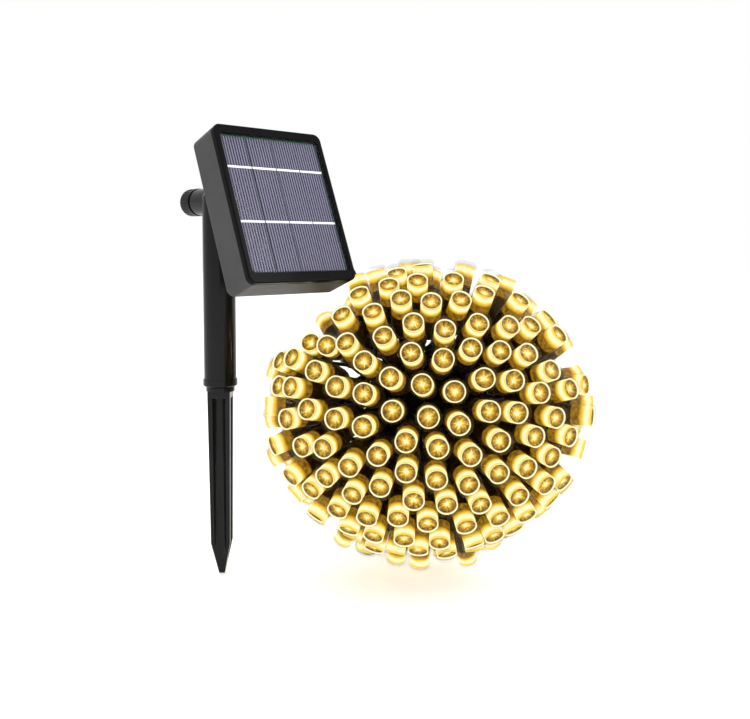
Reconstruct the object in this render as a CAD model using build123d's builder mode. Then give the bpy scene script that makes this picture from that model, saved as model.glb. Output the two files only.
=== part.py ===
"""Solar string lights: a small solar panel head on a ground stake, with its string of lights gathered in a bundle.

Millimetres, +Z up. The origin is the tip of the ground spike, on the axis of the post. The panel faces -Y and leans
back from upright. The bundle of lights stands beside the post and rests on the plane that the tip touches.
"""

from build123d import *
from math import cos, pi, radians, sin, sqrt, tan
import os

import numpy as np

# ---------------------------------------------------------------- driving dimensions
SPIKE_TOP = 88.1  # the shoulder under the post's collar
SPIKE_WIDTH = 10.4
COLLAR_BOTTOM = 88.5
HINGE_HEIGHT = 173.8  # the arm's axis and the tilt pin, above the tip
POST_OUTER = 7.4  # radii of the post's tube
POST_INNER = 6.2
FIT = 0.05  # radial clearance of a running fit

PANEL_WIDTH = 56.0
PANEL_HEIGHT = 69.0
PANEL_DEPTH = 17.0
PANEL_LEAN = 21.5  # degrees back from upright
PANEL_DROP = 13.0  # from the tilt pin down the face to the panel's middle
PIN_FORWARD = 23.2  # from the post's axis forward to the tilt pin
PIN_TO_BACK = 8.0
PIN_RADIUS = 2.0
CORNER = 3.4
WALL = 2.0

LIGHT_COUNT = 200
LIGHT_LENGTH = 25.0
CAP_RADIUS = 5.3
WIRE_RADIUS = 0.9
BUNDLE_YAW = 43.7  # degrees from the panel's own heading to the bundle's broad side
BUNDLE_CENTRE = (60.0, -74.0, 80.5)
BUNDLE_HALF = (75.5, 67.5, 59.0)  # across, up and through the bundle, to the caps' fronts

os.makedirs("parts", exist_ok=True)


def save(shape, name):
    """Labels a finished sub-part and writes its STEP file."""
    shape.label = name
    export_step(shape, f"parts/{name}.step")


# ---------------------------------------------------------------- the lights' places in the bundle
SEED = 12
FRONT_BIAS = 1.3  # over 1 puts more of the lights on the bundle's front
SCATTER = 0.09  # how far a light stands off its even place, as a share of the bundle
SWAY = 0.11  # how far a light leans off its own heading, as a slope
UNEVEN = 0.035  # how far a light stands in or out, as a share of the bundle
SETTLE_STEPS = 340
SETTLE_RATE = 0.3
LIGHT_ROOM = ((0.08, 4.1), (0.36, 4.7), (0.64, 5.3), (0.92, 5.3))  # radii along a light's length
LEAST_GAP = 1.35
PANEL_CLEAR = (32.5, -69.0, 112.0)  # lights keep to +X of this, to -Y of it or below it, clear of the panel
PANEL_SIDE = (-0.62, 0.50, 0.60)  # the bundle's side where the panel is: across, through, up
FOOT_DROP = 16.9  # the lights that the bundle rests on reach down this much further


def bundle_axes():
    """The bundle's across, through and up directions."""
    yaw = radians(BUNDLE_YAW)
    across = np.array([cos(yaw), -sin(yaw), 0.0])
    through = np.array([sin(yaw), cos(yaw), 0.0])
    return np.array([across, through, [0.0, 0.0, 1.0]])


def unit(rows):
    return rows / np.linalg.norm(rows, axis=1)[:, None]


def even_headings():
    """Headings all round the bundle, on a golden-angle spiral, closer together at its front."""
    count = np.arange(LIGHT_COUNT)
    turn = pi * (3.0 - sqrt(5.0)) * count
    level = 2.0 * ((count + 0.5) / LIGHT_COUNT) ** FRONT_BIAS - 1.0
    ring = np.sqrt(1.0 - level**2)
    return np.stack([ring * np.cos(turn), level, ring * np.sin(turn)], axis=1)


def pushed_apart(points, room):
    """How far each point of each light moves to stand clear of the other lights."""
    flat = points.reshape(-1, 3)
    owner = np.repeat(np.arange(LIGHT_COUNT), len(room))
    radii = np.tile(room, LIGHT_COUNT)
    gaps = flat[:, None, :] - flat[None, :, :]
    apart = np.linalg.norm(gaps, axis=2) + 1e3 * (owner[:, None] == owner[None, :])
    push = np.clip(radii[:, None] + radii[None, :] + LEAST_GAP - apart, 0.0, None) / apart
    return (gaps * push[:, :, None]).sum(axis=1).reshape(points.shape)


def light_places():
    """Each light's foot and outward direction, in order along the string."""
    draw = np.random.default_rng(SEED)
    half = np.array([BUNDLE_HALF[0], BUNDLE_HALF[2], BUNDLE_HALF[1]])
    core = half - LIGHT_LENGTH
    heads = even_headings()
    heads = unit(heads + draw.uniform(-SCATTER, SCATTER, (LIGHT_COUNT, 3)))
    stand = 1.0 + draw.uniform(-UNEVEN, UNEVEN, LIGHT_COUNT)
    feet = heads * core * stand[:, None]
    # The lights face out through the bundle's broad sides more than they fan out from its middle.
    outward = unit(unit(heads / core**2) + draw.uniform(-SWAY, SWAY, (LIGHT_COUNT, 3)))
    along = np.array([share for share, _ in LIGHT_ROOM])[:, None]
    room = np.array([radius for _, radius in LIGHT_ROOM])
    limit = np.array(PANEL_CLEAR)
    for _ in range(SETTLE_STEPS):
        points = feet[:, None, :] + outward[:, None, :] * along * LIGHT_LENGTH
        places = np.array(BUNDLE_CENTRE) + points @ bundle_axes()
        beside = (places[:, :, 0] < limit[0]) & (places[:, :, 1] > limit[1]) & (places[:, :, 2] > limit[2])
        move = SETTLE_RATE * pushed_apart(points, room) - 0.6 * beside[:, :, None] * np.array(PANEL_SIDE)
        fronts = feet + outward * LIGHT_LENGTH + (move * along).sum(axis=1)
        feet = feet + (move * (1.0 - along)).sum(axis=1)
        outward = unit(fronts - feet)
        reach = np.linalg.norm(feet / core, axis=1)
        feet *= 1.0 + SETTLE_RATE * ((stand / reach)[:, None] - 1.0)
    low = np.clip((-heads[:, 2] - 0.55) / 0.3, 0.0, 1.0) * np.clip((heads[:, 1] + 0.05) / 0.3, 0.0, 1.0)
    feet[:, 2] -= FOOT_DROP * low
    return np.array(BUNDLE_CENTRE) + feet @ bundle_axes(), outward @ bundle_axes()


# ---------------------------------------------------------------- the stake: spike, collar, post and its head
PEG_RADIUS = 4.3
PEG_TOP = 107.0
SHOULDER = 2.0
SPIKE_OUTLINE = ((0.0, 2.6), (15.0, 8.8), (SPIKE_TOP - SHOULDER, SPIKE_WIDTH))  # height, width
GROOVE_RADIUS = 3.0
GROOVE_SPOT = 5.6  # the groove's axis, out from the spike's
GROOVE_BOTTOM = 5.0
GROOVE_TOP = SPIKE_TOP - SHOULDER - 3.0


def spike_plane(height):
    """A level plane turned so that the spike's grooves face the bundle's broad side."""
    yaw = radians(BUNDLE_YAW)
    return Plane(origin=(0, 0, height), x_dir=(cos(yaw), -sin(yaw), 0), z_dir=(0, 0, 1))


# A spike with a groove down each side, which leaves four wings, and a peg that turns in the collar.
with BuildPart() as spike:
    for lower, upper in zip(SPIKE_OUTLINE, SPIKE_OUTLINE[1:]):
        for height, width in (lower, upper):
            with BuildSketch(spike_plane(height)):
                Rectangle(width, width)
        loft(ruled=True)
    with BuildSketch(spike_plane(GROOVE_BOTTOM)):
        with PolarLocations(GROOVE_SPOT, 4):
            Circle(GROOVE_RADIUS)
    extrude(amount=GROOVE_TOP - GROOVE_BOTTOM, mode=Mode.SUBTRACT)
    with BuildSketch(Plane.XY.offset(SPIKE_TOP - SHOULDER)):
        Circle(6.6)
    extrude(amount=SHOULDER)
    with BuildSketch(Plane.XY.offset(SPIKE_TOP)):
        Circle(PEG_RADIUS)
    extrude(amount=PEG_TOP - SPIKE_TOP)
    chamfer(spike.faces().sort_by(Axis.Z)[-1].edges(), 0.8)
save(spike.part, "spike")

# The collar plugs into the bottom of the post and carries the spike's peg.
COLLAR_RIM = 3.2
COLLAR_OUTER = 7.9
with BuildPart() as post_collar:
    with BuildSketch(Plane.XY.offset(COLLAR_BOTTOM)):
        Circle(COLLAR_OUTER)
    extrude(amount=COLLAR_RIM)
    chamfer(post_collar.faces().sort_by(Axis.Z)[0].edges(), 0.5)
    with BuildSketch(Plane.XY.offset(COLLAR_BOTTOM + COLLAR_RIM)):
        Circle(POST_INNER - FIT)
    extrude(amount=PEG_TOP + 2.0 - COLLAR_BOTTOM - COLLAR_RIM)
    with BuildSketch(Plane.XY.offset(COLLAR_BOTTOM)):
        Circle(PEG_RADIUS + FIT)
    extrude(amount=PEG_TOP + 0.5 - COLLAR_BOTTOM, mode=Mode.SUBTRACT)
save(post_collar.part, "post_collar")

TUBE_BOTTOM = COLLAR_BOTTOM + COLLAR_RIM
TUBE_TOP = 160.0
with BuildPart() as post_tube:
    with BuildSketch(Plane.XY.offset(TUBE_BOTTOM)):
        Circle(POST_OUTER)
        Circle(POST_INNER, mode=Mode.SUBTRACT)
    extrude(amount=TUBE_TOP - TUBE_BOTTOM)
save(post_tube.part, "post_tube")

# The head caps the tube and carries the level arm, bored through for the eye bolt.
ARM_RADIUS = 6.2
ARM_FRONT = -15.4
ARM_BACK = 14.6
BOLT_RADIUS = 2.0
with BuildPart() as post_head:
    with BuildSketch(Plane.XY.offset(TUBE_TOP - 14.0)):
        Circle(POST_INNER - FIT)
    extrude(amount=14.0)
    with BuildSketch(Plane.XY.offset(TUBE_TOP)):
        Circle(POST_OUTER)
    extrude(amount=HINGE_HEIGHT - TUBE_TOP + 4.0)
    fillet(post_head.faces().sort_by(Axis.Z)[-1].edges(), 2.6)
    with BuildSketch(Plane(origin=(0, ARM_FRONT, HINGE_HEIGHT), x_dir=(1, 0, 0), z_dir=(0, 1, 0))):
        Circle(ARM_RADIUS)
    extrude(amount=ARM_BACK - ARM_FRONT)
    with BuildSketch(Plane(origin=(0, ARM_FRONT, HINGE_HEIGHT), x_dir=(1, 0, 0), z_dir=(0, 1, 0))):
        Circle(BOLT_RADIUS + FIT)
    extrude(amount=ARM_BACK - ARM_FRONT, mode=Mode.SUBTRACT)
save(post_head.part, "post_head")

# The eye bolt holds the tilt pin and is drawn back through the arm by the lock knob.
EYE_RADIUS = 5.2
EYE_HALF = 4.8
BOLT_END = 21.0
PIN = (0, -PIN_FORWARD, HINGE_HEIGHT)
with BuildPart() as eye_bolt:
    with BuildSketch(Plane.YZ.offset(-EYE_HALF)):
        with Locations((PIN[1], PIN[2])):
            Circle(EYE_RADIUS)
            Circle(PIN_RADIUS + FIT, mode=Mode.SUBTRACT)
    extrude(amount=2 * EYE_HALF)
    with BuildSketch(Plane(origin=(0, PIN[1] + EYE_RADIUS - 1.0, HINGE_HEIGHT), z_dir=(0, 1, 0))):
        Circle(BOLT_RADIUS)
    extrude(amount=BOLT_END - PIN[1] - EYE_RADIUS + 1.0)
save(eye_bolt.part, "eye_bolt")

WASHER_THICK = 0.8
with BuildPart() as lock_washer:
    with BuildSketch(Plane(origin=(0, ARM_BACK, HINGE_HEIGHT), z_dir=(0, 1, 0))):
        Circle(5.4)
        Circle(BOLT_RADIUS + FIT, mode=Mode.SUBTRACT)
    extrude(amount=WASHER_THICK)
save(lock_washer.part, "lock_washer")

# The lock knob: a fluted cap, domed at its outer end, on the threaded end of the eye bolt.
KNOB_RADIUS = 6.5
KNOB_START = ARM_BACK + WASHER_THICK + 0.3
KNOB_LENGTH = 8.6
with BuildPart() as lock_knob:
    with BuildSketch(Plane(origin=(0, KNOB_START, HINGE_HEIGHT), z_dir=(0, 1, 0))):
        Circle(KNOB_RADIUS)
    extrude(amount=KNOB_LENGTH)
    fillet(lock_knob.faces().sort_by(Axis.Y)[-1].edges(), 2.4)
    with BuildSketch(Plane(origin=(0, KNOB_START + 1.6, HINGE_HEIGHT), z_dir=(0, 1, 0))):
        with PolarLocations(KNOB_RADIUS + 0.35, 24):
            Circle(0.6)
    extrude(amount=KNOB_LENGTH, mode=Mode.SUBTRACT)
    with BuildSketch(Plane(origin=(0, KNOB_START, HINGE_HEIGHT), z_dir=(0, 1, 0))):
        Circle(BOLT_RADIUS + FIT)
    extrude(amount=BOLT_END - KNOB_START + 0.4, mode=Mode.SUBTRACT)
save(lock_knob.part, "lock_knob")


# ---------------------------------------------------------------- the panel head, in its own leaning frame
LEAN = radians(PANEL_LEAN)
UP = (0, sin(LEAN), cos(LEAN))
NORMAL = (0, -cos(LEAN), sin(LEAN))
FRONT = PIN_TO_BACK + PANEL_DEPTH
FRAME_THICK = 2.0
COVER_THICK = 2.0
SEAL_THICK = 0.6
SEAL_BACK = FRONT - FRAME_THICK - SEAL_THICK
MIDDLE = (0, -PANEL_DROP)
SCREW_SPOTS = 45.2, 58.2  # spacing of the four corner screws
BUTTON_SPOTS = ((-9.0, -34.0), (9.0, -34.0))


def head_plane(out):
    """A plane parallel to the panel's face: x across, y up the face, so far out from the tilt pin."""
    return Plane(origin=PIN, x_dir=(1, 0, 0), z_dir=NORMAL).offset(out)


def side_plane(across):
    """A plane square to the tilt pin: x up the face and y out of it, so far across from the middle."""
    return Plane(origin=(across, PIN[1], PIN[2]), x_dir=UP, z_dir=(1, 0, 0))


# The window in the frame: narrow borders at the sides, wider ones above and below.
WINDOW = (PANEL_WIDTH - 4.8, PANEL_HEIGHT - 8.2)
WINDOW_MIDDLE = (0, -PANEL_DROP + 0.2)
with BuildPart() as front_frame:
    with BuildSketch(head_plane(FRONT - FRAME_THICK)):
        with Locations(MIDDLE):
            RectangleRounded(PANEL_WIDTH, PANEL_HEIGHT, CORNER)
    extrude(amount=FRAME_THICK)
    fillet(front_frame.faces().sort_by(Axis(PIN, NORMAL))[-1].edges(), 0.7)
    with BuildSketch(head_plane(FRONT - FRAME_THICK)):
        with Locations(WINDOW_MIDDLE):
            RectangleRounded(*WINDOW, 1.6)
    extrude(amount=FRAME_THICK, mode=Mode.SUBTRACT)
save(front_frame.part, "front_frame")

with BuildPart() as housing_gasket:
    with BuildSketch(head_plane(SEAL_BACK)):
        with Locations(MIDDLE):
            RectangleRounded(PANEL_WIDTH - 1.0, PANEL_HEIGHT - 1.0, CORNER - 0.5)
            RectangleRounded(PANEL_WIDTH - 3.4, PANEL_HEIGHT - 3.4, CORNER - 1.7, mode=Mode.SUBTRACT)
    extrude(amount=SEAL_THICK)
save(housing_gasket.part, "housing_gasket")

# The shell: four walls, with a screw boss in each corner.
BOSS_RADIUS = 3.7
PILOT_RADIUS = 1.2
SHELL_BACK = PIN_TO_BACK + COVER_THICK
with BuildPart() as housing_shell:
    with BuildSketch(head_plane(SHELL_BACK)):
        with Locations(MIDDLE):
            RectangleRounded(PANEL_WIDTH, PANEL_HEIGHT, CORNER)
            RectangleRounded(PANEL_WIDTH - 2 * WALL, PANEL_HEIGHT - 2 * WALL, CORNER - WALL, mode=Mode.SUBTRACT)
    extrude(amount=SEAL_BACK - SHELL_BACK)
    with BuildSketch(head_plane(SHELL_BACK)):
        with Locations(MIDDLE):
            with GridLocations(*SCREW_SPOTS, 2, 2):
                Circle(BOSS_RADIUS)
    extrude(amount=SEAL_BACK - SHELL_BACK - 1.4)
    with BuildSketch(head_plane(SHELL_BACK)):
        with Locations(MIDDLE):
            with GridLocations(*SCREW_SPOTS, 2, 2):
                Circle(PILOT_RADIUS)
    extrude(amount=8.5, mode=Mode.SUBTRACT)
save(housing_shell.part, "housing_shell")

# The back cover carries the two hinge lugs, the cable boss, the screw recesses and the button holes.
LUG_INNER = 5.1
LUG_THICK = 4.0
LUG_RADIUS = 6.0
BOSS_START = 12.6
BOSS_LENGTH = 6.0
BUTTON_RADIUS = 3.4
SCREW_HEAD = 2.2
HEAD_DEPTH = 1.2
with BuildPart() as back_cover:
    with BuildSketch(head_plane(PIN_TO_BACK)):
        with Locations(MIDDLE):
            RectangleRounded(PANEL_WIDTH, PANEL_HEIGHT, CORNER)
    extrude(amount=COVER_THICK)
    fillet(back_cover.faces().sort_by(Axis(PIN, NORMAL))[0].edges(), 0.8)
    for start, length, radius in (
        (-LUG_INNER - LUG_THICK, LUG_THICK, LUG_RADIUS),
        (LUG_INNER, LUG_THICK, LUG_RADIUS),
        (BOSS_START, BOSS_LENGTH, 3.6),
    ):
        with BuildSketch(side_plane(start)):
            Circle(radius)
            with Locations((0, (PIN_TO_BACK + 0.5) / 2)):
                Rectangle(2 * radius, PIN_TO_BACK + 0.5)
        extrude(amount=length)
    with BuildSketch(side_plane(-LUG_INNER - LUG_THICK)):
        Circle(PIN_RADIUS)
    extrude(amount=2 * (LUG_INNER + LUG_THICK), mode=Mode.SUBTRACT)
    with BuildSketch(side_plane(BOSS_START)):
        Circle(1.8)
    extrude(amount=BOSS_LENGTH, mode=Mode.SUBTRACT)
    with BuildSketch(head_plane(PIN_TO_BACK)):
        with Locations(MIDDLE):
            with GridLocations(*SCREW_SPOTS, 2, 2):
                Circle(PILOT_RADIUS + 0.2)
        with Locations(*BUTTON_SPOTS):
            Circle(BUTTON_RADIUS + FIT)
    extrude(amount=COVER_THICK, mode=Mode.SUBTRACT)
    with BuildSketch(head_plane(PIN_TO_BACK)):
        with Locations(MIDDLE):
            with GridLocations(*SCREW_SPOTS, 2, 2):
                Circle(SCREW_HEAD + 0.2)
    extrude(amount=HEAD_DEPTH, mode=Mode.SUBTRACT)
save(back_cover.part, "back_cover")

# Four cross-headed screws from the back.
SHANK_RADIUS = 1.15
with BuildPart() as housing_screws:
    with BuildSketch(head_plane(PIN_TO_BACK + 0.1)):
        with Locations(MIDDLE):
            with GridLocations(*SCREW_SPOTS, 2, 2):
                Circle(SCREW_HEAD)
    extrude(amount=HEAD_DEPTH - 0.1)
    with BuildSketch(head_plane(PIN_TO_BACK + HEAD_DEPTH)):
        with Locations(MIDDLE):
            with GridLocations(*SCREW_SPOTS, 2, 2):
                Circle(SHANK_RADIUS)
    extrude(amount=9.0)
    with BuildSketch(head_plane(PIN_TO_BACK + 0.1)):
        with Locations(MIDDLE):
            with GridLocations(*SCREW_SPOTS, 2, 2):
                Rectangle(2.6, 0.6)
                Rectangle(0.6, 2.6)
    extrude(amount=0.7, mode=Mode.SUBTRACT)
save(housing_screws.part, "housing_screws")

# The solar sandwich: board, four cell strips, two busbars a strip, and the clear cover in the window.
BOARD_THICK = 1.2
CELL_THICK = 0.4
BUSBAR_THICK = 0.15
CELL_GAP = 0.55
CELL_COUNT = 4
CELL_HEIGHT = WINDOW[1] - 1.6
CELL_WIDTH = (WINDOW[0] - 1.6 - (CELL_COUNT - 1) * CELL_GAP) / CELL_COUNT
BUSBAR_HEIGHT = 0.9
BUSBAR_LEVELS = (0.27, -0.135)  # up the cell from its middle, as shares of its height
BOARD_FRONT = FRONT - FRAME_THICK
with BuildPart() as solar_board:
    with BuildSketch(head_plane(BOARD_FRONT - BOARD_THICK)):
        with Locations(MIDDLE):
            RectangleRounded(PANEL_WIDTH - 2 * WALL - 0.4, PANEL_HEIGHT - 2 * WALL - 0.4, 1.0)
    extrude(amount=BOARD_THICK)
save(solar_board.part, "solar_board")

with BuildPart() as solar_cells:
    with BuildSketch(head_plane(BOARD_FRONT)):
        with Locations(WINDOW_MIDDLE):
            with GridLocations(CELL_WIDTH + CELL_GAP, 0, CELL_COUNT, 1):
                Rectangle(CELL_WIDTH, CELL_HEIGHT)
    extrude(amount=CELL_THICK)
save(solar_cells.part, "solar_cells")

with BuildPart() as cell_busbars:
    for level in BUSBAR_LEVELS:
        with BuildSketch(head_plane(BOARD_FRONT + CELL_THICK)):
            with Locations((0, WINDOW_MIDDLE[1] + level * CELL_HEIGHT)):
                with GridLocations(CELL_WIDTH + CELL_GAP, 0, CELL_COUNT, 1):
                    Rectangle(CELL_WIDTH, BUSBAR_HEIGHT)
        extrude(amount=BUSBAR_THICK)
save(cell_busbars.part, "cell_busbars")

CLEAR_BACK = BOARD_FRONT + CELL_THICK + BUSBAR_THICK
with BuildPart() as clear_cover:
    with BuildSketch(head_plane(CLEAR_BACK)):
        with Locations(WINDOW_MIDDLE):
            RectangleRounded(WINDOW[0] - 0.2, WINDOW[1] - 0.2, 1.5)
    extrude(amount=FRONT - 0.35 - CLEAR_BACK)
save(clear_cover.part, "clear_cover")

# Power: a small cylindrical cell in its holder, with a spring plate at each end.
CELL_RADIUS = 5.2
CELL_LENGTH = 44.5
CELL_SPOT = (4.0, 16.0)  # up the face from the pin, and out from it
PLATE_THICK = 0.6
with BuildPart() as battery:
    with BuildSketch(side_plane(-CELL_LENGTH / 2 + 1.0)):
        with Locations(CELL_SPOT):
            Circle(CELL_RADIUS)
    extrude(amount=CELL_LENGTH - 1.0)
    with BuildSketch(side_plane(-CELL_LENGTH / 2)):
        with Locations(CELL_SPOT):
            Circle(1.9)
    extrude(amount=1.0)
save(battery.part, "battery")

with BuildPart() as battery_contacts:
    for start in (-CELL_LENGTH / 2 - PLATE_THICK, CELL_LENGTH / 2):
        with BuildSketch(side_plane(start)):
            with Locations(CELL_SPOT):
                RectangleRounded(9.0, 8.0, 1.0)
        extrude(amount=PLATE_THICK)
save(battery_contacts.part, "battery_contacts")

HOLDER_WALL = 1.0
HOLDER_HALF = CELL_LENGTH / 2 + PLATE_THICK
with BuildPart() as battery_holder:
    with BuildSketch(head_plane(SHELL_BACK + 0.15)):
        with Locations((0, CELL_SPOT[0])):
            Rectangle(2 * (HOLDER_HALF + HOLDER_WALL), 10.4)
    extrude(amount=0.5)
    with BuildSketch(head_plane(SHELL_BACK + 0.15)):
        with Locations((0, CELL_SPOT[0])):
            with GridLocations(2 * HOLDER_HALF + HOLDER_WALL, 0, 2, 1):
                Rectangle(HOLDER_WALL, 10.4)
    extrude(amount=9.0)
save(battery_holder.part, "battery_holder")

# The control board, with a push switch behind each button.
BOARD_SPOT = (0, -30.0)
BOARD_BACK = 15.2
SWITCH_HEIGHT = 1.8
CONTROL_SIZE = (36.0, 26.0)
CONTROL_THICK = 1.0
CHIP_SPOT = (-7.0, -24.0)
CHIP_SIZE = (5.0, 6.2)
COIL_SPOT = (8.0, -24.0)
COIL_RADIUS = 3.4
CHIP_HEIGHT = 2.0

with BuildPart() as control_board:
    with BuildSketch(head_plane(BOARD_BACK)):
        with Locations(BOARD_SPOT):
            RectangleRounded(*CONTROL_SIZE, 1.0)
    extrude(amount=CONTROL_THICK)
    # The charging chip and its coil stand on the board's far side.
    with BuildSketch(head_plane(BOARD_BACK + CONTROL_THICK)):
        with Locations(CHIP_SPOT):
            Rectangle(*CHIP_SIZE)
        with Locations(COIL_SPOT):
            Circle(COIL_RADIUS)
    extrude(amount=CHIP_HEIGHT)
save(control_board.part, "control_board")

with BuildPart() as push_switches:
    with BuildSketch(head_plane(BOARD_BACK - SWITCH_HEIGHT)):
        with Locations(*BUTTON_SPOTS):
            Rectangle(6.0, 6.0)
    extrude(amount=SWITCH_HEIGHT)
    with BuildSketch(head_plane(BOARD_BACK - SWITCH_HEIGHT - 0.4)):
        with Locations(*BUTTON_SPOTS):
            Circle(1.6)
    extrude(amount=0.4)
save(push_switches.part, "push_switches")

# Each button: a domed cap through the cover, a flange that keeps it in, and a stem over its switch.
BUTTON_STAND = 1.0
BUTTON_TRAVEL = 0.8
STEM_END = BOARD_BACK - SWITCH_HEIGHT - 0.4 - BUTTON_TRAVEL - 0.1
for spot, name in zip(BUTTON_SPOTS, ("power_button", "mode_button")):
    with BuildPart() as button:
        with BuildSketch(head_plane(PIN_TO_BACK - BUTTON_STAND)):
            with Locations(spot):
                Circle(BUTTON_RADIUS)
        extrude(amount=SHELL_BACK + 0.3 - PIN_TO_BACK + BUTTON_STAND)
        fillet(button.faces().sort_by(Axis(PIN, NORMAL))[0].edges(), 0.6)
        with BuildSketch(head_plane(SHELL_BACK + 0.3)):
            with Locations(spot):
                Circle(BUTTON_RADIUS + 0.9)
        extrude(amount=0.6)
        with BuildSketch(head_plane(SHELL_BACK + 0.9)):
            with Locations(spot):
                Circle(1.5)
        extrude(amount=STEM_END - SHELL_BACK - 0.9)
    save(button.part, name)

# The tilt pin is a headed bolt through the lugs and the eye, with a nut on its far end.
LUG_OUTER = LUG_INNER + LUG_THICK
with BuildPart() as tilt_pin:
    with BuildSketch(side_plane(-LUG_OUTER)):
        Circle(PIN_RADIUS)
    extrude(amount=2 * LUG_OUTER + 2.6)
    with BuildSketch(side_plane(-LUG_OUTER - 1.8)):
        Circle(3.6)
    extrude(amount=1.8)
    fillet(tilt_pin.faces().sort_by(Axis.X)[0].edges(), 0.8)
save(tilt_pin.part, "tilt_pin")

with BuildPart() as tilt_nut:
    with BuildSketch(side_plane(LUG_OUTER)):
        RegularPolygon(radius=3.5, side_count=6, major_radius=False)
        Circle(PIN_RADIUS, mode=Mode.SUBTRACT)
    extrude(amount=2.2)
save(tilt_nut.part, "tilt_nut")

# The cable gland: a stub in the boss and a ribbed, tapering sleeve along the tilt axis.
GLAND_START = BOSS_START + BOSS_LENGTH
GLAND_LENGTH = 9.4
with BuildPart() as cable_gland:
    with BuildSketch(side_plane(BOSS_START + 1.0)):
        Circle(1.8)
    extrude(amount=BOSS_LENGTH - 1.0)
    with BuildSketch(Plane(origin=(GLAND_START, PIN[1], PIN[2]), x_dir=(1, 0, 0), z_dir=(0, 0, 1))):
        with BuildLine():
            Polyline((0, 0), (0, 3.0), (1.6, 3.0), (1.6, 2.6), (GLAND_LENGTH, 1.5), (GLAND_LENGTH, 0), (0, 0))
        make_face()
    revolve(axis=Axis((0, PIN[1], PIN[2]), (1, 0, 0)))
save(cable_gland.part, "cable_gland")


# ---------------------------------------------------------------- the lead, from the gland down into the bundle
LEAD_ROUTE = (
    (GLAND_START + GLAND_LENGTH + 0.3, PIN[1], PIN[2]),
    (42.0, -22.9, 173.0),
    (51.5, -23.0, 161.0),
    (55.5, -26.5, 146.5),
    (56.5, -38.0, 131.0),
    (56.8, -49.9, 116.9),
)


def arc_radii(points):
    """For each corner, 0.45 of its shorter run over the tangent of half its turn."""
    radii = []
    for before, corner, after in zip(points, points[1:], points[2:]):
        first, second = Vector(corner) - Vector(before), Vector(after) - Vector(corner)
        turn = radians(first.get_angle(second))
        radii.append(0.45 * min(first.length, second.length) / tan(turn / 2))
    return radii


lead_radii = arc_radii(LEAD_ROUTE)
with BuildPart() as lead_wire:
    with BuildLine() as lead_line:
        FilletPolyline(*LEAD_ROUTE, radius=lead_radii)
    with BuildSketch(Plane(origin=LEAD_ROUTE[0], z_dir=lead_line.wires()[0] % 0)):
        Circle(WIRE_RADIUS)
    sweep()
save(lead_wire.part, "lead_wire")
lead_length = lead_line.wires()[0].length
print("lead arcs, mm:", [round(radius, 1) for radius in lead_radii])
print("lead length", round(lead_length, 1), "volume", round(lead_wire.part.volume, 1))
print("section x length", round(pi * WIRE_RADIUS**2 * lead_length, 1))


# ---------------------------------------------------------------- the bundle: the wire's hank and its lights
# The hank's two lumps: across, through and up from the bundle's middle, and half sizes the same way.
CORE = BUNDLE_HALF[0] - LIGHT_LENGTH, BUNDLE_HALF[2] - LIGHT_LENGTH, BUNDLE_HALF[1] - LIGHT_LENGTH
PACKING = 1.5  # the hank stands out this much past the lights' mean footing
HANK_LUMPS = (
    ((0.0, 0.0, 0.0), tuple(size + PACKING for size in CORE)),
    ((0.0, 10.0, -20.0), (42.0, 16.0, 37.0)),
)
bundle_plane = Plane(origin=BUNDLE_CENTRE, x_dir=tuple(bundle_axes()[0]), z_dir=(0, 0, 1))
with BuildPart() as string_hank:
    for middle, half in HANK_LUMPS:
        lump = scale(Solid.make_sphere(1.0), by=half, mode=Mode.PRIVATE)
        add(bundle_plane * Pos(*middle) * lump)
save(string_hank.part, "string_hank")

# One light, standing on z = 0: its holder, the lamp in it, a bright cup round the lamp and the clear cap.
HOLDER_END = 11.0
NECK_END = 14.0
CAP_WALL = 0.9
CAP_INNER = CAP_RADIUS - CAP_WALL
CAP_FRONT = 1.3
HOLDER_OUTLINE = ((0, 0), (3.3, 0), (4.1, 2.5), (4.7, 7.0), (4.7, HOLDER_END), (CAP_INNER, HOLDER_END))
HOLDER_REST = ((CAP_INNER, NECK_END), (0, NECK_END), (0, 0))
CUP_OUTLINE = ((2.9, NECK_END), (CAP_INNER, NECK_END), (CAP_INNER, 17.2), (4.0, 17.2), (2.9, NECK_END))
LAMP_RADIUS = 2.5
LAMP_STRAIGHT = 5.2
CAP_CHAMFER = 1.0


def turned(outline):
    """A solid of revolution about Z from an outline of (radius, height) points."""
    with BuildPart() as body:
        with BuildSketch(Plane.XZ):
            with BuildLine():
                Polyline(*outline)
            make_face()
        revolve(axis=Axis.Z)
    return body.part.solid()


def make_lamp():
    """A round-fronted lamp with a rim at its base."""
    with BuildPart() as lamp:
        with BuildSketch(Plane.XY.offset(NECK_END)):
            Circle(LAMP_RADIUS)
        extrude(amount=LAMP_STRAIGHT + LAMP_RADIUS)
        fillet(lamp.faces().sort_by(Axis.Z)[-1].edges(), LAMP_RADIUS - 0.1)
        with BuildSketch(Plane.XY.offset(NECK_END)):
            Circle(LAMP_RADIUS + 0.3)
        extrude(amount=0.8)
    return lamp.part.solid()


def make_cap():
    """A clear cap, open at the back, closed and chamfered at the front."""
    with BuildPart() as cap:
        with BuildSketch(Plane.XY.offset(HOLDER_END)):
            Circle(CAP_RADIUS)
        extrude(amount=LIGHT_LENGTH - HOLDER_END)
        chamfer(cap.faces().sort_by(Axis.Z)[-1].edges(), CAP_CHAMFER)
        with BuildSketch(Plane.XY.offset(HOLDER_END)):
            Circle(CAP_INNER)
        extrude(amount=LIGHT_LENGTH - CAP_FRONT - HOLDER_END, mode=Mode.SUBTRACT)
    return cap.part.solid()


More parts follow.
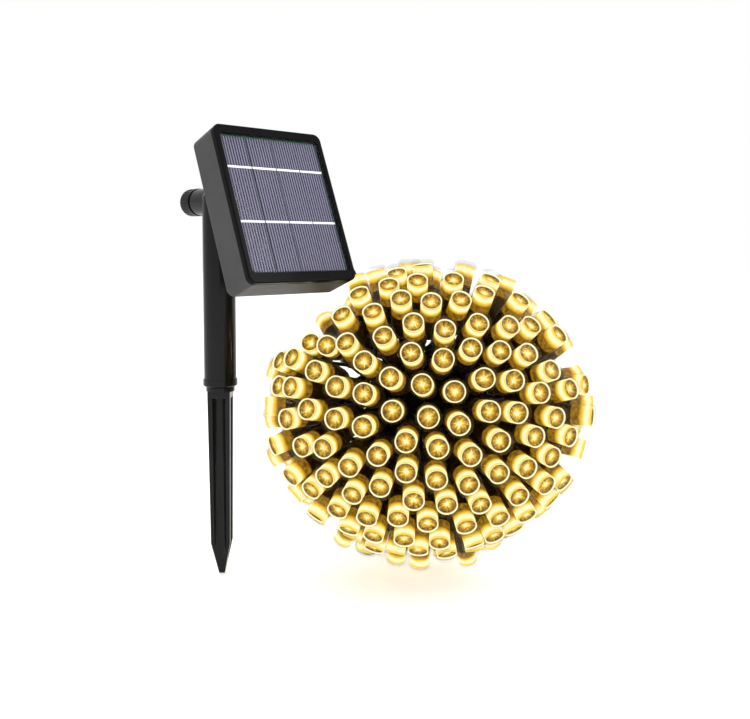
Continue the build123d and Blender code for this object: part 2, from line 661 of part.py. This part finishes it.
light_feet, light_ways = light_places()
light_planes = [Plane(origin=tuple(foot), z_dir=tuple(way)) for foot, way in zip(light_feet, light_ways)]
for name, one in (
    ("led_holders", turned(HOLDER_OUTLINE + HOLDER_REST)),
    ("led_lamps", make_lamp()),
    ("led_cups", turned(CUP_OUTLINE)),
    ("led_caps", make_cap()),
):
    save(Compound([place * one for place in light_planes]), name)
print("lights", LIGHT_COUNT, "lowest", round(float((light_feet + light_ways * LIGHT_LENGTH)[:, 2].min()), 2))
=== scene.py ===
"""Solar string lights: a solar panel head on a ground stake, and its string of warm lights in a bundle.

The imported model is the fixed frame. This script adds the string's real wire, the glow inside each light,
and a procedural material for every surface. Everything is in metres.
"""
from math import cos, pi, radians, sin

import bpy
import numpy as np
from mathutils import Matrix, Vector


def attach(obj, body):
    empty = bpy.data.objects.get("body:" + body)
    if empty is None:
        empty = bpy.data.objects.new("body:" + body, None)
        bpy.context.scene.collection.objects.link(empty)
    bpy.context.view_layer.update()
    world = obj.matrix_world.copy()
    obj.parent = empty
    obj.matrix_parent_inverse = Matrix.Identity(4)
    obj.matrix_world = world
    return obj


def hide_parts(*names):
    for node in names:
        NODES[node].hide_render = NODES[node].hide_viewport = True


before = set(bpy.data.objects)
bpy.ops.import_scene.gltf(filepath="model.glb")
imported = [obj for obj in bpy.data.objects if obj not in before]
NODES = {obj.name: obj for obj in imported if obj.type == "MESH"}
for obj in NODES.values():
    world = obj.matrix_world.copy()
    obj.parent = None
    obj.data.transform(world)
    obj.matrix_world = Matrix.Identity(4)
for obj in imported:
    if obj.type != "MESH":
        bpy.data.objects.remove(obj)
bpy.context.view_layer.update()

MM = 0.001

# ---------------------------------------------------------------- the camera
VIEW_YAW = radians(43.7)  # the view's heading, clockwise from +Y
VIEW_PITCH = radians(3.5)  # the view looks down this much
CAMERA_PLACE = (-0.2244, -0.3389, 0.1530)
CAMERA_LENS = 41.6
CAMERA_SHIFT = -0.08


def make_camera():
    """The camera at the reference view."""
    data = bpy.data.cameras.new("camera")
    data.lens = CAMERA_LENS
    data.sensor_width = 36.0
    data.shift_y = CAMERA_SHIFT
    data.clip_start = 0.01
    camera = bpy.data.objects.new("camera", data)
    bpy.context.scene.collection.objects.link(camera)
    level = cos(VIEW_PITCH)
    way = Vector((level * sin(VIEW_YAW), level * cos(VIEW_YAW), -sin(VIEW_PITCH)))
    camera.location = CAMERA_PLACE
    camera.rotation_euler = way.to_track_quat("-Z", "Y").to_euler()
    bpy.context.scene.camera = camera


make_camera()


# ---------------------------------------------------------------- where the lights are, from the CAD holders
BUNDLE_CENTRE = np.array((60.0, -74.0, 80.5)) * MM


def loose_parts(mesh):
    """The points of each separate solid of a mesh, in the mesh's own order."""
    points = np.empty(len(mesh.vertices) * 3)
    mesh.vertices.foreach_get("co", points)
    points = points.reshape(-1, 3)
    edges = np.empty(len(mesh.edges) * 2, dtype=int)
    mesh.edges.foreach_get("vertices", edges)
    _, same = np.unique(np.round(points, 6), axis=0, return_inverse=True)
    ends = same.reshape(-1)[edges.reshape(-1, 2)]
    group = np.arange(same.max() + 1)
    while True:
        least = np.minimum(group[ends[:, 0]], group[ends[:, 1]])
        before = group.copy()
        np.minimum.at(group, ends[:, 0], least)
        np.minimum.at(group, ends[:, 1], least)
        if (group == before).all():
            break
    owner = group[same.reshape(-1)]
    firsts = {}
    for index, name in enumerate(owner):
        firsts.setdefault(name, []).append(index)
    return [points[rows] for rows in firsts.values()]


def light_places():
    """Each light's foot and outward direction, from its holder, which is round about that direction."""
    feet, ways = [], []
    for part in loose_parts(NODES["led_holders"].data):
        part = np.unique(np.round(part, 7), axis=0)
        middle = part.mean(axis=0)
        sizes, axes = np.linalg.eigh(np.cov((part - middle).T))
        odd = 0 if sizes[1] - sizes[0] > sizes[2] - sizes[1] else 2
        way = axes[:, odd]
        if way @ (middle - BUNDLE_CENTRE) < 0:
            way = -way
        along = (part - middle) @ way
        feet.append(middle + way * along.min())
        ways.append(way)
    return np.array(feet), np.array(ways)


light_feet, light_ways = light_places()
LIGHT_COUNT = len(light_feet)


# ---------------------------------------------------------------- the string: one wire through every light
WIRE_DIAMETER = 1.8 * MM
LEAD_ROUTE = (
    (28.3, -23.2, 173.8),
    (42.0, -22.9, 173.0),
    (51.5, -23.0, 161.0),
    (55.5, -26.5, 146.5),
    (56.5, -38.0, 131.0),
    (56.8, -49.9, 116.9),
)
ORDER_STEP = 3  # the string visits every third light round the bundle
HAIRPIN = 1.3 * MM  # half the space between the two wires in a holder
HAIRPIN_DEPTH = 3.0 * MM
BELOW_FOOT = 4.0 * MM
BELOW_SPREAD = 1.6 * HAIRPIN  # half the space between the two wires below a holder
CORE_HALF = np.array((44.0, 28.0, 36.0)) * MM  # across, through and up: the room for the slack
SLACK_POINTS = 2  # between one light and the next
SLACK_REACH = (0.4, 0.92)  # least and most of the way out of that room
STRING_SEED = 11


def side_of(way, turn):
    """A direction square to way, turned round it."""
    first = np.cross(way, (0.0, 0.0, 1.0) if abs(way[2]) < 0.9 else (1.0, 0.0, 0.0))
    first = first / np.linalg.norm(first)
    return cos(turn) * first + sin(turn) * np.cross(way, first)


def string_points():
    """The wire's control points: the lead, then into and out of each holder, with slack inside the bundle."""
    draw = np.random.default_rng(STRING_SEED)
    points = [np.array(point) * MM for point in LEAD_ROUTE]
    first = int(np.linalg.norm(light_feet - points[-1], axis=1).argmin())
    level_cos, level_sin = cos(VIEW_YAW), sin(VIEW_YAW)
    axes = np.array(((level_cos, -level_sin, 0.0), (level_sin, level_cos, 0.0), (0.0, 0.0, 1.0)))
    for count in range(LIGHT_COUNT):
        light = (first + ORDER_STEP * count) % LIGHT_COUNT
        foot, way = light_feet[light], light_ways[light]
        side = side_of(way, draw.uniform(0.0, 2.0 * pi))
        points.append(foot - BELOW_FOOT * way + BELOW_SPREAD * side)
        points.append(foot + HAIRPIN_DEPTH * way + HAIRPIN * side)
        points.append(foot + HAIRPIN_DEPTH * way - HAIRPIN * side)
        if count < LIGHT_COUNT - 1:
            points.append(foot - BELOW_FOOT * way - BELOW_SPREAD * side)
            for _ in range(SLACK_POINTS):
                way_in = draw.normal(size=3)
                way_in = way_in / np.linalg.norm(way_in) * draw.uniform(*SLACK_REACH)
                points.append(BUNDLE_CENTRE + (way_in * CORE_HALF) @ axes)
    return points


def make_string():
    """The string as one open curve, in place of the model's lead wire and hank, which are hidden."""
    curve = bpy.data.curves.new("string_wire", "CURVE")
    curve.dimensions = "3D"
    curve.resolution_u = 6
    curve.bevel_depth = 1.0  # metres, times each point's radius
    curve.bevel_resolution = 2
    curve.use_fill_caps = True
    spline = curve.splines.new("NURBS")
    points = string_points()
    spline.points.add(len(points) - 1)
    for place, point in zip(spline.points, points):
        place.co = (*point, 1.0)
        place.radius = WIRE_DIAMETER / 2
    spline.order_u = 3
    spline.use_endpoint_u = True
    wire = bpy.data.objects.new("string_wire", curve)
    bpy.context.scene.collection.objects.link(wire)
    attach(wire, "post")
    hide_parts("lead_wire", "string_hank")
    return wire


string_wire = make_string()


# ---------------------------------------------------------------- the glow inside each light
GLOW_SIDES = 28
# (radius, height from the foot) in millimetres
GLOW_BAND = ((4.34, 17.0), (4.34, 18.5), (4.34, 20.0), (4.34, 21.5), (4.34, 23.1))
GLOW_FACE = ((4.34, 23.1), (4.0, 22.75), (3.3, 22.3), (2.5, 22.05), (1.7, 21.95), (0.9, 21.9), (0.3, 21.9))


def glow_mesh(name, profile, uv_of):
    """One mesh of the same turned surface in every light, with uv_of(angle, radius, height) as its UV map."""
    turns = np.arange(GLOW_SIDES) * 2.0 * pi / GLOW_SIDES
    verts, faces, uvs = [], [], []
    rows = len(profile)
    for foot, way in zip(light_feet, light_ways):
        side = side_of(way, 0.0)
        other = np.cross(way, side)
        start = len(verts)
        for radius, height in profile:
            for turn in turns:
                out = (cos(turn) * side + sin(turn) * other) * radius * MM
                verts.append(foot + way * height * MM + out)
        for row in range(rows - 1):
            for step in range(GLOW_SIDES):
                after = (step + 1) % GLOW_SIDES
                low, high = start + row * GLOW_SIDES, start + (row + 1) * GLOW_SIDES
                faces.append((low + step, low + after, high + after, high + step))
                near, far = turns[step], turns[step] + 2.0 * pi / GLOW_SIDES
                uvs += [uv_of(near, *profile[row]), uv_of(far, *profile[row])]
                uvs += [uv_of(far, *profile[row + 1]), uv_of(near, *profile[row + 1])]
        if profile[-1][0] < 1.0:
            last = start + (rows - 1) * GLOW_SIDES
            faces.append(tuple(last + step for step in range(GLOW_SIDES)))
            uvs += [uv_of(turn, *profile[-1]) for turn in turns]
    mesh = bpy.data.meshes.new(name)
    mesh.from_pydata([tuple(vert) for vert in verts], [], faces)
    layer = mesh.uv_layers.new(name="glow")
    layer.data.foreach_set("uv", np.array(uvs, dtype=float).reshape(-1))
    mesh.polygons.foreach_set("use_smooth", [True] * len(mesh.polygons))
    mesh.update()
    piece = bpy.data.objects.new(name, mesh)
    bpy.context.scene.collection.objects.link(piece)
    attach(piece, "post")
    return piece


def face_uv(turn, radius, height):
    share = 0.5 * radius / GLOW_FACE[0][0]
    return (0.5 + share * cos(turn), 0.5 + share * sin(turn))


def band_uv(turn, radius, height):
    low, high = GLOW_BAND[0][1], GLOW_BAND[-1][1]
    return (turn / (2.0 * pi), (height - low) / (high - low))


glow_faces = glow_mesh("light_glow_faces", GLOW_FACE, face_uv)
glow_bands = glow_mesh("light_glow_bands", GLOW_BAND, band_uv)


# ---------------------------------------------------------------- small helpers for materials
def new_material(name):
    """(material, node tree, its Principled shader)."""
    material = bpy.data.materials.new(name)
    material.use_nodes = True
    tree = material.node_tree
    return material, tree, tree.nodes["Principled BSDF"]


def add_node(tree, kind, **settings):
    node = tree.nodes.new(kind)
    for key, value in settings.items():
        setattr(node, key, value)
    return node


def feed(tree, socket, value):
    """Sets a socket to a number, or links another socket to it."""
    if isinstance(value, bpy.types.NodeSocket):
        tree.links.new(value, socket)
    else:
        socket.default_value = value


def maths(tree, operation, first, second=0.0, third=0.0):
    node = add_node(tree, "ShaderNodeMath", operation=operation)
    for socket, value in zip(node.inputs, (first, second, third)):
        feed(tree, socket, value)
    return node.outputs[0]


def ramp(tree, value, stops):
    """A colour ramp of (position, colour) stops."""
    node = add_node(tree, "ShaderNodeValToRGB")
    feed(tree, node.inputs[0], value)
    elements = node.color_ramp.elements
    for place, colour in stops[2:]:
        elements.new(place)
    for element, (place, colour) in zip(elements, stops):
        element.position = place
        element.color = (*colour, 1.0)
    return node.outputs["Color"]


def mix_colour(tree, share, first, second):
    node = add_node(tree, "ShaderNodeMix", data_type="RGBA")
    feed(tree, node.inputs[0], share)
    for socket, value in ((node.inputs[6], first), (node.inputs[7], second)):
        feed(tree, socket, value if isinstance(value, bpy.types.NodeSocket) else (*value, 1.0))
    return node.outputs[2]


def place_of(tree):
    """The point's place in the shared frame, in metres."""
    return add_node(tree, "ShaderNodeTexCoord").outputs["Object"]


def noise(tree, scale, detail=3.0, vector=None, rough=0.55):
    node = add_node(tree, "ShaderNodeTexNoise")
    feed(tree, node.inputs["Vector"], place_of(tree) if vector is None else vector)
    node.inputs["Scale"].default_value = scale
    node.inputs["Detail"].default_value = detail
    node.inputs["Roughness"].default_value = rough
    return node.outputs["Fac"]


def bump(tree, shader, height, strength, distance):
    node = add_node(tree, "ShaderNodeBump")
    node.inputs["Strength"].default_value = strength
    node.inputs["Distance"].default_value = distance
    feed(tree, node.inputs["Height"], height)
    tree.links.new(node.outputs[0], shader.inputs["Normal"])


def dress(material, *names):
    """Gives CAD nodes a material."""
    for name in names:
        mesh = NODES[name].data
        mesh.materials.clear()
        mesh.materials.append(material)


# ---------------------------------------------------------------- plastics, rubber and metal
def moulded_plastic(name, dark, light, rough, grain, coat=0.0, shine=0.35):
    """Moulded plastic: two close shades in soft cloud, a fine grain, and scuffs that change its gloss."""
    material, tree, shader = new_material(name)
    cloud = noise(tree, 45.0, 4.0)
    tree.links.new(ramp(tree, cloud, ((0.35, dark), (0.7, light))), shader.inputs["Base Color"])
    scuff = noise(tree, 220.0, 5.0)
    gloss = add_node(tree, "ShaderNodeMapRange")
    feed(tree, gloss.inputs["Value"], scuff)
    gloss.inputs["To Min"].default_value = rough - 0.06
    gloss.inputs["To Max"].default_value = rough + 0.08
    tree.links.new(gloss.outputs[0], shader.inputs["Roughness"])
    shader.inputs["Specular IOR Level"].default_value = shine
    shader.inputs["Coat Weight"].default_value = coat
    shader.inputs["Coat Roughness"].default_value = 0.12
    bump(tree, shader, noise(tree, 2600.0, 2.0), grain, 0.00006)
    return material


def turned_metal(name, colour, rough):
    """Bright metal with fine marks of turning."""
    material, tree, shader = new_material(name)
    marks = noise(tree, 900.0, 4.0)
    shade = tuple(value * 0.8 for value in colour)
    tree.links.new(ramp(tree, marks, ((0.3, shade), (0.7, colour))), shader.inputs["Base Color"])
    shader.inputs["Metallic"].default_value = 1.0
    shader.inputs["Roughness"].default_value = rough
    bump(tree, shader, marks, 0.15, 0.00003)
    return material


def circuit_board(name):
    """Green board: solder mask with paler square traces."""
    material, tree, shader = new_material(name)
    brick = add_node(tree, "ShaderNodeTexBrick")
    feed(tree, brick.inputs["Vector"], place_of(tree))
    brick.inputs["Scale"].default_value = 180.0
    brick.inputs["Color1"].default_value = (0.01, 0.10, 0.035, 1.0)
    brick.inputs["Color2"].default_value = (0.015, 0.13, 0.05, 1.0)
    brick.inputs["Mortar"].default_value = (0.05, 0.26, 0.10, 1.0)
    tree.links.new(brick.outputs["Color"], shader.inputs["Base Color"])
    shader.inputs["Roughness"].default_value = 0.35
    bump(tree, shader, noise(tree, 1500.0), 0.2, 0.00004)
    return material


post_black = moulded_plastic(
    "post_black", dark=(0.006, 0.006, 0.006), light=(0.009, 0.009, 0.0095), rough=0.18, grain=0.05, shine=0.16
)
knob_black = moulded_plastic(
    "knob_black", dark=(0.004, 0.004, 0.004), light=(0.007, 0.007, 0.007), rough=0.3, grain=0.2, shine=0.1
)
frame_black = moulded_plastic(
    "frame_black", dark=(0.003, 0.003, 0.003), light=(0.005, 0.005, 0.005), rough=0.16, grain=0.06, shine=0.05
)
case_grey = moulded_plastic(
    "case_grey", dark=(0.034, 0.034, 0.035), light=(0.046, 0.046, 0.047), rough=0.42, grain=0.5, shine=0.25
)
soft_rubber = moulded_plastic(
    "soft_rubber", dark=(0.012, 0.012, 0.012), light=(0.022, 0.022, 0.022), rough=0.62, grain=0.7
)
wire_rubber = moulded_plastic(
    "wire_rubber", dark=(0.006, 0.005, 0.003), light=(0.014, 0.011, 0.006), rough=0.38, grain=0.3, shine=0.2
)
holder_brown = moulded_plastic(
    "holder_brown", dark=(0.022, 0.013, 0.003), light=(0.050, 0.031, 0.008), rough=0.33, grain=0.25, shine=0.2
)
battery_green = moulded_plastic(
    "battery_green", dark=(0.02, 0.14, 0.06), light=(0.03, 0.18, 0.08), rough=0.25, grain=0.1, coat=0.4
)
inner_black = moulded_plastic(
    "inner_black", dark=(0.018, 0.018, 0.02), light=(0.03, 0.03, 0.032), rough=0.5, grain=0.4
)
bright_steel = turned_metal("bright_steel", (0.62, 0.62, 0.63), 0.28)
bright_nickel = turned_metal("bright_nickel", (0.75, 0.73, 0.68), 0.18)
board_green = circuit_board("board_green")

dress(post_black, "spike", "post_collar", "post_tube", "post_head")
dress(knob_black, "lock_knob")
dress(frame_black, "front_frame")
dress(case_grey, "housing_shell", "back_cover")
dress(soft_rubber, "housing_gasket", "cable_gland", "power_button", "mode_button")
dress(inner_black, "battery_holder", "push_switches")
dress(battery_green, "battery")
dress(bright_steel, "eye_bolt", "lock_washer", "tilt_pin", "tilt_nut", "housing_screws")
dress(bright_nickel, "battery_contacts")
dress(board_green, "solar_board", "control_board")
dress(holder_brown, "led_holders")
string_wire.data.materials.append(wire_rubber)


# ---------------------------------------------------------------- the solar cells and their cover
FINGER_PITCH = 1.3 * MM
FINGER_SHARE = 0.4  # of the pitch that is silver


def make_cell_material():
    """Violet-grey cells with fine upright silver fingers and a faint crystal mottle."""
    material, tree, shader = new_material("solar_cell")
    split = add_node(tree, "ShaderNodeSeparateXYZ")
    feed(tree, split.inputs[0], place_of(tree))
    step = maths(tree, "FRACT", maths(tree, "DIVIDE", split.outputs["X"], FINGER_PITCH))
    finger = maths(tree, "LESS_THAN", step, FINGER_SHARE)
    mottle = noise(tree, 260.0, 5.0)
    violet = ramp(tree, mottle, ((0.3, (0.020, 0.019, 0.036)), (0.7, (0.032, 0.030, 0.052))))
    tree.links.new(mix_colour(tree, finger, violet, (0.25, 0.24, 0.35)), shader.inputs["Base Color"])
    shader.inputs["Roughness"].default_value = 0.32
    shader.inputs["Specular IOR Level"].default_value = 0.15
    bump(tree, shader, finger, 0.3, 0.00005)
    return material


def make_cover_material():
    """Clear cast cover: almost all light goes through, with a soft gloss."""
    material, tree, shader = new_material("cell_cover")
    shader.inputs["Base Color"].default_value = (0.06, 0.06, 0.08, 1.0)
    shader.inputs["Alpha"].default_value = 0.07
    bump(tree, shader, noise(tree, 90.0), 0.05, 0.0001)
    smear = add_node(tree, "ShaderNodeMapRange")
    feed(tree, smear.inputs["Value"], noise(tree, 60.0))
    smear.inputs["To Min"].default_value = 0.05
    smear.inputs["To Max"].default_value = 0.16
    tree.links.new(smear.outputs[0], shader.inputs["Roughness"])
    return material


def make_busbar_material():
    """Pale silver strips with a faint painted glow, so that they stay bright under the cover."""
    material, tree, shader = new_material("silver_busbar")
    silver = ramp(tree, noise(tree, 800.0), ((0.3, (0.8, 0.8, 0.84)), (0.7, (0.98, 0.98, 1.0))))
    tree.links.new(silver, shader.inputs["Base Color"])
    shader.inputs["Roughness"].default_value = 0.4
    # painted light: a faint white glow that keeps the strips bright under the cover
    shader.inputs["Emission Color"].default_value = (1.0, 1.0, 1.0, 1.0)
    shader.inputs["Emission Strength"].default_value = 0.25
    return material


dress(make_cell_material(), "solar_cells")
dress(make_cover_material(), "clear_cover")
dress(make_busbar_material(), "cell_busbars")


# ---------------------------------------------------------------- the lights
WHITE_HOT = (1.0, 0.90, 0.50)
YELLOW = (0.82, 0.55, 0.060)
AMBER = (0.42, 0.215, 0.011)
BROWN = (0.067, 0.032, 0.002)
FACE_STRENGTH = 1.55
BAND_STRENGTH = 1.5


def uv_polar(tree):
    """(distance from the light's axis as a share of the face, the direction from it)."""
    uv = add_node(tree, "ShaderNodeUVMap", uv_map="glow").outputs[0]
    middle = add_node(tree, "ShaderNodeVectorMath", operation="SUBTRACT")
    feed(tree, middle.inputs[0], uv)
    middle.inputs[1].default_value = (0.5, 0.5, 0.0)
    length = add_node(tree, "ShaderNodeVectorMath", operation="LENGTH")
    feed(tree, length.inputs[0], middle.outputs[0])
    away = add_node(tree, "ShaderNodeVectorMath", operation="NORMALIZE")
    feed(tree, away.inputs[0], middle.outputs[0])
    return maths(tree, "MULTIPLY", length.outputs["Value"], 2.0), away.outputs[0]


def make_face_material():
    """The light's face: a white-hot spot, streaks out from it in dark amber, and a bright thin rim."""
    material, tree, shader = new_material("light_face")
    share, away = uv_polar(tree)
    place = add_node(tree, "ShaderNodeVectorMath", operation="SCALE")
    feed(tree, place.inputs[0], place_of(tree))
    place.inputs["Scale"].default_value = 55.0
    shifted = add_node(tree, "ShaderNodeVectorMath", operation="ADD")
    feed(tree, shifted.inputs[0], away)
    feed(tree, shifted.inputs[1], place.outputs[0])
    streak = noise(tree, 3.4, 4.0, shifted.outputs[0], 0.8)
    fleck = noise(tree, 900.0, 3.0)
    spread = maths(tree, "MULTIPLY", maths(tree, "SUBTRACT", streak, 0.45), 1.5)
    heat = maths(tree, "SUBTRACT", share, spread)
    core = ramp(tree, heat, ((0.06, WHITE_HOT), (0.2, YELLOW), (0.40, AMBER), (0.75, BROWN)))
    mottled = mix_colour(tree, maths(tree, "GREATER_THAN", fleck, 0.60), core, YELLOW)
    soft = maths(tree, "MULTIPLY", maths(tree, "LESS_THAN", share, 0.8), 0.55)
    inner = mix_colour(tree, soft, core, mottled)
    rim = ramp(tree, share, ((0.84, (0.0, 0.0, 0.0)), (0.93, (1.0, 1.0, 1.0))))
    colour = mix_colour(tree, rim, inner, WHITE_HOT)
    tree.links.new(colour, shader.inputs["Emission Color"])
    shader.inputs["Emission Strength"].default_value = FACE_STRENGTH
    shader.inputs["Specular IOR Level"].default_value = 0.1
    shader.inputs["Base Color"].default_value = (0.01, 0.005, 0.001, 1.0)
    shader.inputs["Roughness"].default_value = 0.2
    return material


def make_band_material():
    """The light's side: a white-hot ring in a yellow band that turns amber and brown towards its base."""
    material, tree, shader = new_material("light_band")
    uv = add_node(tree, "ShaderNodeUVMap", uv_map="glow").outputs[0]
    split = add_node(tree, "ShaderNodeSeparateXYZ")
    feed(tree, split.inputs[0], uv)
    wave = maths(tree, "MULTIPLY", maths(tree, "SUBTRACT", noise(tree, 420.0, 2.0), 0.5), 0.22)
    level = maths(tree, "ADD", split.outputs["Y"], wave)
    stops = (
        (0.0, BROWN),
        (0.14, AMBER),
        (0.36, YELLOW),
        (0.55, WHITE_HOT),
        (0.72, WHITE_HOT),
        (0.92, YELLOW),
    )
    tree.links.new(ramp(tree, level, stops), shader.inputs["Emission Color"])
    shader.inputs["Emission Strength"].default_value = BAND_STRENGTH
    shader.inputs["Specular IOR Level"].default_value = 0.1
    shader.inputs["Base Color"].default_value = (0.01, 0.005, 0.001, 1.0)
    shader.inputs["Roughness"].default_value = 0.3
    return material


def make_cap_material():
    """Clear cap: mostly see-through, glossy, with a faint warm tint."""
    material, tree, shader = new_material("clear_cap")
    tint = ramp(tree, noise(tree, 300.0), ((0.3, (0.10, 0.05, 0.006)), (0.7, (0.16, 0.09, 0.015))))
    tree.links.new(tint, shader.inputs["Base Color"])
    shader.inputs["Roughness"].default_value = 0.06
    shader.inputs["Alpha"].default_value = 0.10
    return material


def make_lit_material(name, colour, brightest, strength):
    """A lit plastic piece, whose glow varies from one shade to another."""
    material, tree, shader = new_material(name)
    glow = ramp(tree, noise(tree, 700.0), ((0.35, colour), (0.7, brightest)))
    tree.links.new(glow, shader.inputs["Emission Color"])
    shader.inputs["Base Color"].default_value = (*colour, 1.0)
    shader.inputs["Emission Strength"].default_value = strength
    return material


glow_faces.data.materials.append(make_face_material())
glow_bands.data.materials.append(make_band_material())
dress(make_cap_material(), "led_caps")
dress(make_lit_material("lamp_lit", YELLOW, WHITE_HOT, 2.0), "led_lamps")
dress(make_lit_material("cup_lit", BROWN, AMBER, 1.1), "led_cups")


# ---------------------------------------------------------------- the floor and the light
FLOOR_SIZE = 8.0
FLOOR_DROP = 0.6 * MM  # keeps the floor clear of the spike's tip


def make_floor():
    """A plain white studio floor."""
    half = FLOOR_SIZE / 2
    mesh = bpy.data.meshes.new("floor")
    corners = [(-half, -half, 0.0), (half, -half, 0.0), (half, half, 0.0), (-half, half, 0.0)]
    mesh.from_pydata(corners, [], [(0, 1, 2, 3)])
    floor = bpy.data.objects.new("floor", mesh)
    floor.location.z = -FLOOR_DROP
    bpy.context.scene.collection.objects.link(floor)
    material, tree, shader = new_material("floor_white")
    white = ramp(tree, noise(tree, 3.0), ((0.3, (0.93, 0.93, 0.93)), (0.7, (0.96, 0.96, 0.96))))
    tree.links.new(white, shader.inputs["Base Color"])
    shader.inputs["Roughness"].default_value = 0.8
    shader.inputs["Emission Color"].default_value = (1.0, 1.0, 1.0, 1.0)
    shader.inputs["Emission Strength"].default_value = 0.35
    mesh.materials.append(material)


def add_area(name, place, aim, size, power):
    """A soft rectangular light, size wide and high, that points at aim."""
    data = bpy.data.lights.new(name, "AREA")
    data.shape = "RECTANGLE"
    data.size, data.size_y = size
    data.energy = power
    light = bpy.data.objects.new(name, data)
    light.location = place
    light.rotation_euler = (Vector(aim) - Vector(place)).to_track_quat("-Z", "Y").to_euler()
    bpy.context.scene.collection.objects.link(light)


def light_the_bundle():
    """The lamps' own warm light on the wires behind them."""
    data = bpy.data.lights.new("bundle_glow", "POINT")
    data.shadow_soft_size = 0.03
    data.energy = 3.0
    data.color = (1.0, 0.72, 0.20)
    light = bpy.data.objects.new("bundle_glow", data)
    light.location = BUNDLE_CENTRE
    light.visible_camera = False
    bpy.context.scene.collection.objects.link(light)


def light_the_scene():
    """Soft white studio light from everywhere, with one strip and one soft light from above."""
    world = bpy.data.worlds.new("studio")
    world.use_nodes = True
    world.node_tree.nodes["Background"].inputs["Color"].default_value = (1.0, 1.0, 1.0, 1.0)
    world.node_tree.nodes["Background"].inputs["Strength"].default_value = 1.0
    bpy.context.scene.world = world
    bpy.context.scene.view_settings.view_transform = "Standard"
    add_area("key_strip", (0.45, -0.75, 0.35), (0.0, 0.0, 0.12), (0.3, 0.9), 3.5)
    add_area("top_soft", (-0.3, -0.4, 1.1), (0.0, 0.0, 0.1), (0.9, 0.9), 3.0)


make_floor()
light_the_scene()
light_the_bundle()
